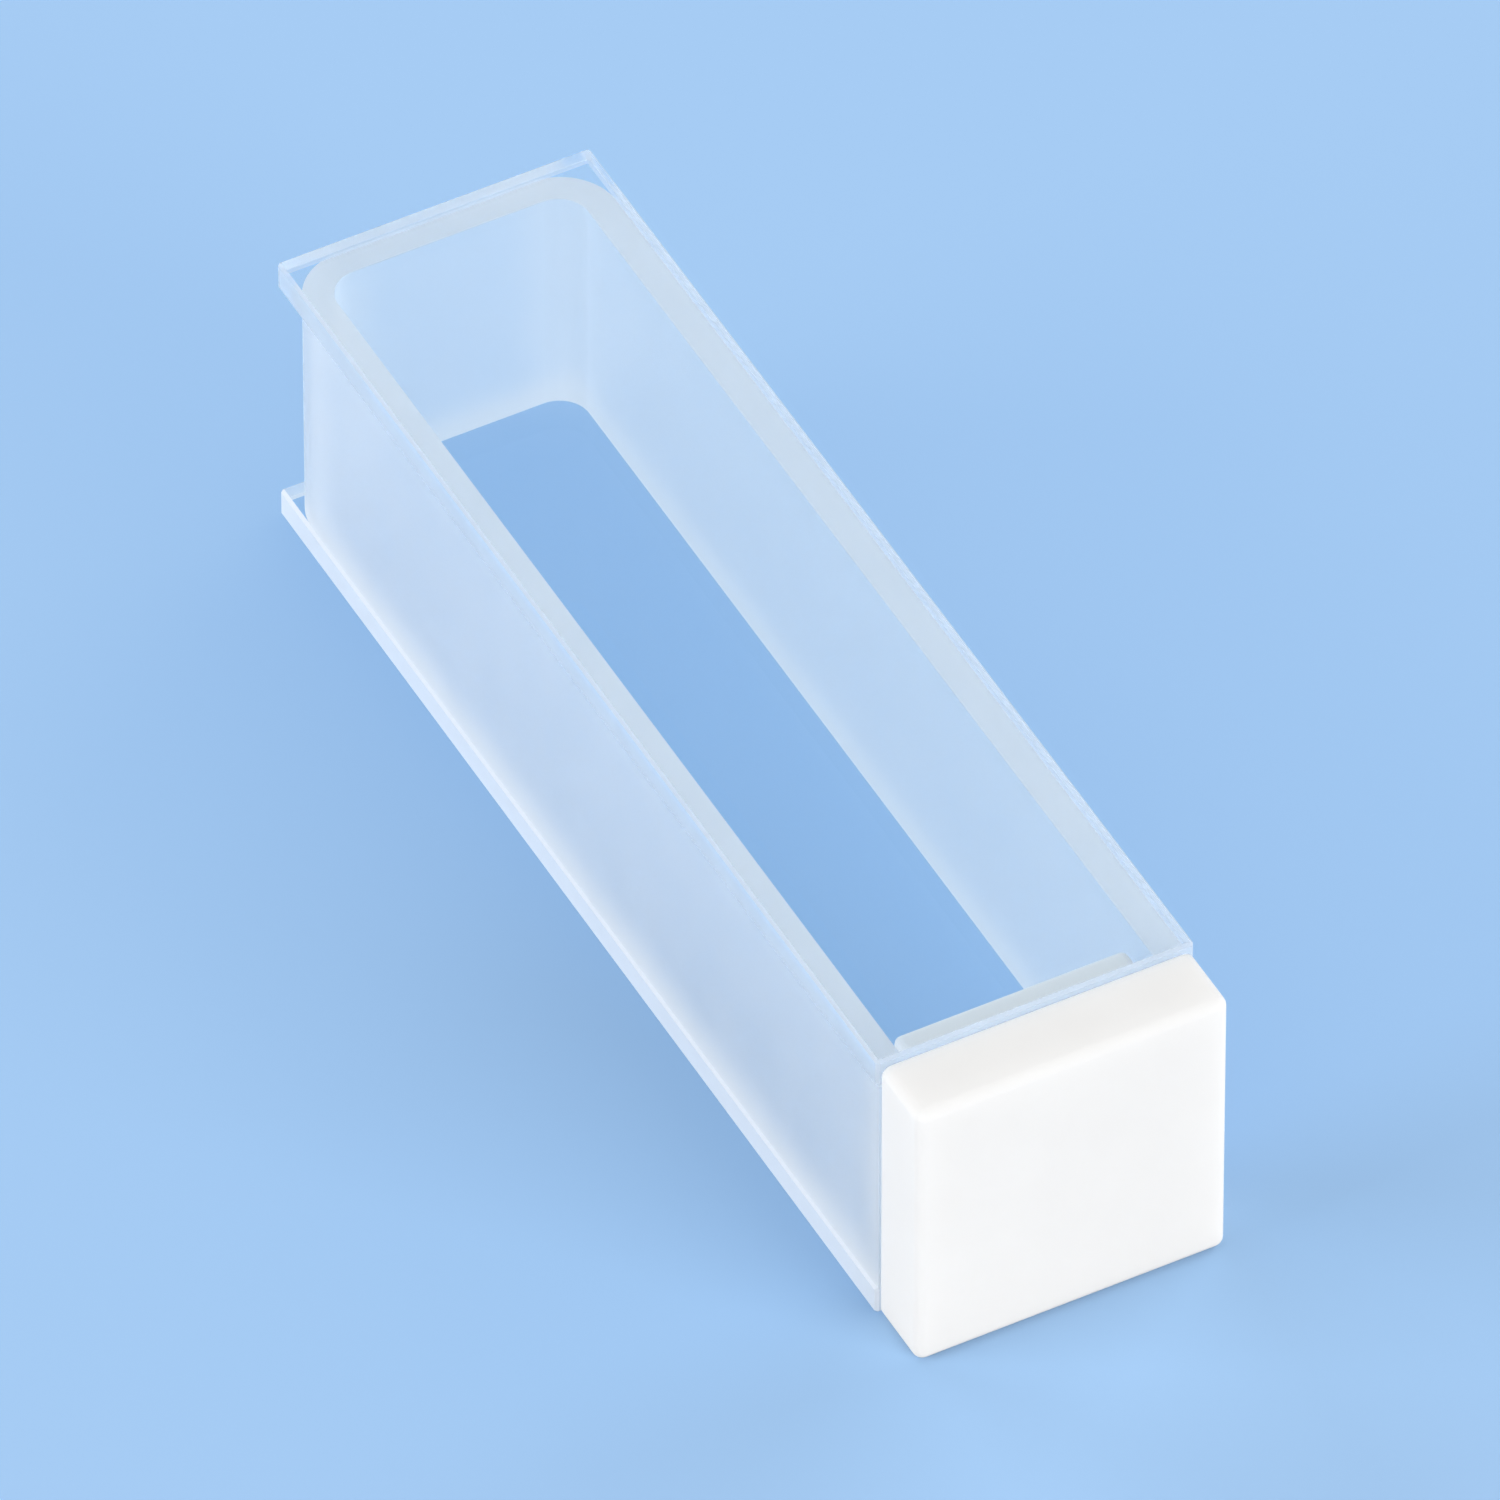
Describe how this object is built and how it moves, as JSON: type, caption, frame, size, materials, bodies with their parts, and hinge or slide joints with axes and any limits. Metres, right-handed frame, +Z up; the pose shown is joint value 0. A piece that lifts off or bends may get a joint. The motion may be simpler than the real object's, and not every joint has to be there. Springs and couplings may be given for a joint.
{
  "type": "cuvette",
  "caption": "Square glass spectrophotometer cell lying on a window: a frosted U-shaped frame between clear polished windows, its mouth closed by a white push-in cap.",
  "frame": {"origin": "on the surface that the cell lies on, under the middle of its outer box", "axes": "+X across the cell from side wall to side wall, +Y along the cell from the capped mouth to the closed end, +Z up through both windows"},
  "size_m": [0.0126, 0.0478, 0.0125],
  "materials": {
    "frosted_glass": "frosted, milky",
    "clear_glass": "optically polished faces, finely ground edges",
    "white_ptfe": "satin"
  },
  "bodies": {
    "root": {"u_frame": "frosted_glass", "lower_window": "clear_glass", "upper_window": "clear_glass", "cap": "white_ptfe"}
  },
  "joints": []
}
